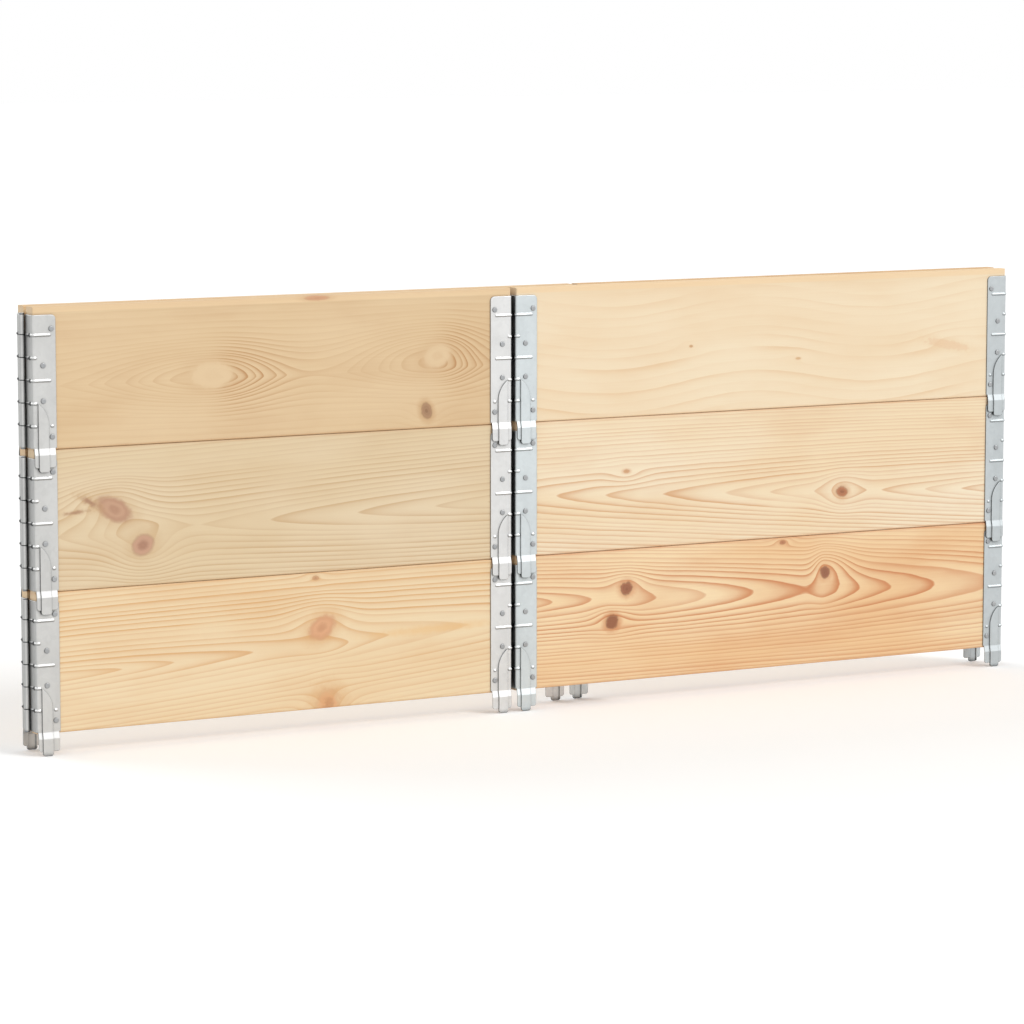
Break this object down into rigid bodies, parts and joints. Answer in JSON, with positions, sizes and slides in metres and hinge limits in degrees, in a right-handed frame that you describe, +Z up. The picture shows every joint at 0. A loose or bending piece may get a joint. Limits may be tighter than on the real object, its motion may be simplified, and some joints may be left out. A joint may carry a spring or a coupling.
{
  "type": "wooden pallet collar",
  "caption": "Stack of folded wooden pallet collars: pine boards joined by pressed galvanised hinges with stacking feet, which unfold together into a rectangular frame",
  "frame": {"origin": "Bottom centre of the folded stack, on the floor under the feet", "axes": "+X along the folded stack (left to right seen from the front), front faces -Y, +Z up"},
  "size_m": [1.6294, 0.06, 0.615],
  "materials": {
    "pine_upper": "planed bare pine, pale",
    "pine_middle": "planed bare pine, knotty",
    "pine_lower": "planed bare pine, warm grain",
    "zinc_leaf": "galvanised pressed sheet, satin",
    "steel_pin": "galvanised rod",
    "steel_nail": "bright flat-head nail"
  },
  "bodies": {
    "lower_front_short": {"lower_front_short_board": "pine_lower", "lower_front_short_leaf_start": "zinc_leaf", "lower_front_short_leaf_end": "zinc_leaf", "lower_front_short_pin": "steel_pin", "lower_front_short_nails": "steel_nail"},
    "lower_front_long": {"lower_front_long_board": "pine_lower", "lower_front_long_leaf_start": "zinc_leaf", "lower_front_long_leaf_end": "zinc_leaf", "lower_front_long_pin": "steel_pin", "lower_front_long_nails": "steel_nail"},
    "lower_back_short": {"lower_back_short_board": "pine_lower", "lower_back_short_leaf_start": "zinc_leaf", "lower_back_short_leaf_end": "zinc_leaf", "lower_back_short_pin": "steel_pin", "lower_back_short_nails": "steel_nail"},
    "lower_back_long": {"lower_back_long_board": "pine_lower", "lower_back_long_leaf_start": "zinc_leaf", "lower_back_long_leaf_end": "zinc_leaf", "lower_back_long_pin": "steel_pin", "lower_back_long_nails": "steel_nail"},
    "middle_front_short": {"middle_front_short_board": "pine_middle", "middle_front_short_leaf_start": "zinc_leaf", "middle_front_short_leaf_end": "zinc_leaf", "middle_front_short_pin": "steel_pin", "middle_front_short_nails": "steel_nail"},
    "middle_front_long": {"middle_front_long_board": "pine_middle", "middle_front_long_leaf_start": "zinc_leaf", "middle_front_long_leaf_end": "zinc_leaf", "middle_front_long_pin": "steel_pin", "middle_front_long_nails": "steel_nail"},
    "middle_back_short": {"middle_back_short_board": "pine_middle", "middle_back_short_leaf_start": "zinc_leaf", "middle_back_short_leaf_end": "zinc_leaf", "middle_back_short_pin": "steel_pin", "middle_back_short_nails": "steel_nail"},
    "middle_back_long": {"middle_back_long_board": "pine_middle", "middle_back_long_leaf_start": "zinc_leaf", "middle_back_long_leaf_end": "zinc_leaf", "middle_back_long_pin": "steel_pin", "middle_back_long_nails": "steel_nail"},
    "upper_front_short": {"upper_front_short_board": "pine_upper", "upper_front_short_leaf_start": "zinc_leaf", "upper_front_short_leaf_end": "zinc_leaf", "upper_front_short_pin": "steel_pin", "upper_front_short_nails": "steel_nail"},
    "upper_front_long": {"upper_front_long_board": "pine_upper", "upper_front_long_leaf_start": "zinc_leaf", "upper_front_long_leaf_end": "zinc_leaf", "upper_front_long_pin": "steel_pin", "upper_front_long_nails": "steel_nail"},
    "upper_back_short": {"upper_back_short_board": "pine_upper", "upper_back_short_leaf_start": "zinc_leaf", "upper_back_short_leaf_end": "zinc_leaf", "upper_back_short_pin": "steel_pin", "upper_back_short_nails": "steel_nail"},
    "upper_back_long": {"upper_back_long_board": "pine_upper", "upper_back_long_leaf_start": "zinc_leaf", "upper_back_long_leaf_end": "zinc_leaf", "upper_back_long_pin": "steel_pin", "upper_back_long_nails": "steel_nail"}
  },
  "joints": [
    {"name": "lower_fold", "type": "hinge", "parent": "lower_front_short", "child": "lower_front_long", "pos_m": [-0.06, 0, 0.03], "axis": [0, 0, 1], "range_deg": [0, 90]},
    {"name": "lower_left_hinge", "type": "hinge", "parent": "lower_front_short", "child": "lower_back_long", "pos_m": [-0.8102, 0, 0.03], "axis": [0, 0, 1], "range_deg": [0, 90]},
    {"name": "lower_right_hinge", "type": "hinge", "parent": "lower_front_long", "child": "lower_back_short", "pos_m": [0.8102, 0, 0.03], "axis": [0, 0, 1], "range_deg": [-90, 0]},
    {"name": "middle_fold", "type": "hinge", "parent": "middle_front_short", "child": "middle_front_long", "pos_m": [-0.06, 0, 0.225], "axis": [0, 0, 1], "range_deg": [0, 90]},
    {"name": "middle_left_hinge", "type": "hinge", "parent": "middle_front_short", "child": "middle_back_long", "pos_m": [-0.8102, 0, 0.225], "axis": [0, 0, 1], "range_deg": [0, 90]},
    {"name": "middle_right_hinge", "type": "hinge", "parent": "middle_front_long", "child": "middle_back_short", "pos_m": [0.8102, 0, 0.225], "axis": [0, 0, 1], "range_deg": [-90, 0]},
    {"name": "upper_fold", "type": "hinge", "parent": "upper_front_short", "child": "upper_front_long", "pos_m": [-0.06, 0, 0.42], "axis": [0, 0, 1], "range_deg": [0, 90]},
    {"name": "upper_left_hinge", "type": "hinge", "parent": "upper_front_short", "child": "upper_back_long", "pos_m": [-0.8102, 0, 0.42], "axis": [0, 0, 1], "range_deg": [0, 90]},
    {"name": "upper_right_hinge", "type": "hinge", "parent": "upper_front_long", "child": "upper_back_short", "pos_m": [0.8102, 0, 0.42], "axis": [0, 0, 1], "range_deg": [-90, 0]},
    {"name": "middle_lift", "type": "slide", "parent": "lower_front_short", "child": "middle_front_short", "axis": [0, 0, 1], "range_m": [0, 0.2]},
    {"name": "upper_lift", "type": "slide", "parent": "middle_front_short", "child": "upper_front_short", "axis": [0, 0, 1], "range_m": [0, 0.2]}
  ],
  "couplings": [
    {"joint": "lower_left_hinge", "follows": "lower_fold", "ratio": 1},
    {"joint": "lower_right_hinge", "follows": "lower_fold", "ratio": -1},
    {"joint": "middle_fold", "follows": "lower_fold", "ratio": 1},
    {"joint": "middle_left_hinge", "follows": "lower_fold", "ratio": 1},
    {"joint": "middle_right_hinge", "follows": "lower_fold", "ratio": -1},
    {"joint": "upper_fold", "follows": "lower_fold", "ratio": 1},
    {"joint": "upper_left_hinge", "follows": "lower_fold", "ratio": 1},
    {"joint": "upper_right_hinge", "follows": "lower_fold", "ratio": -1}
  ]
}
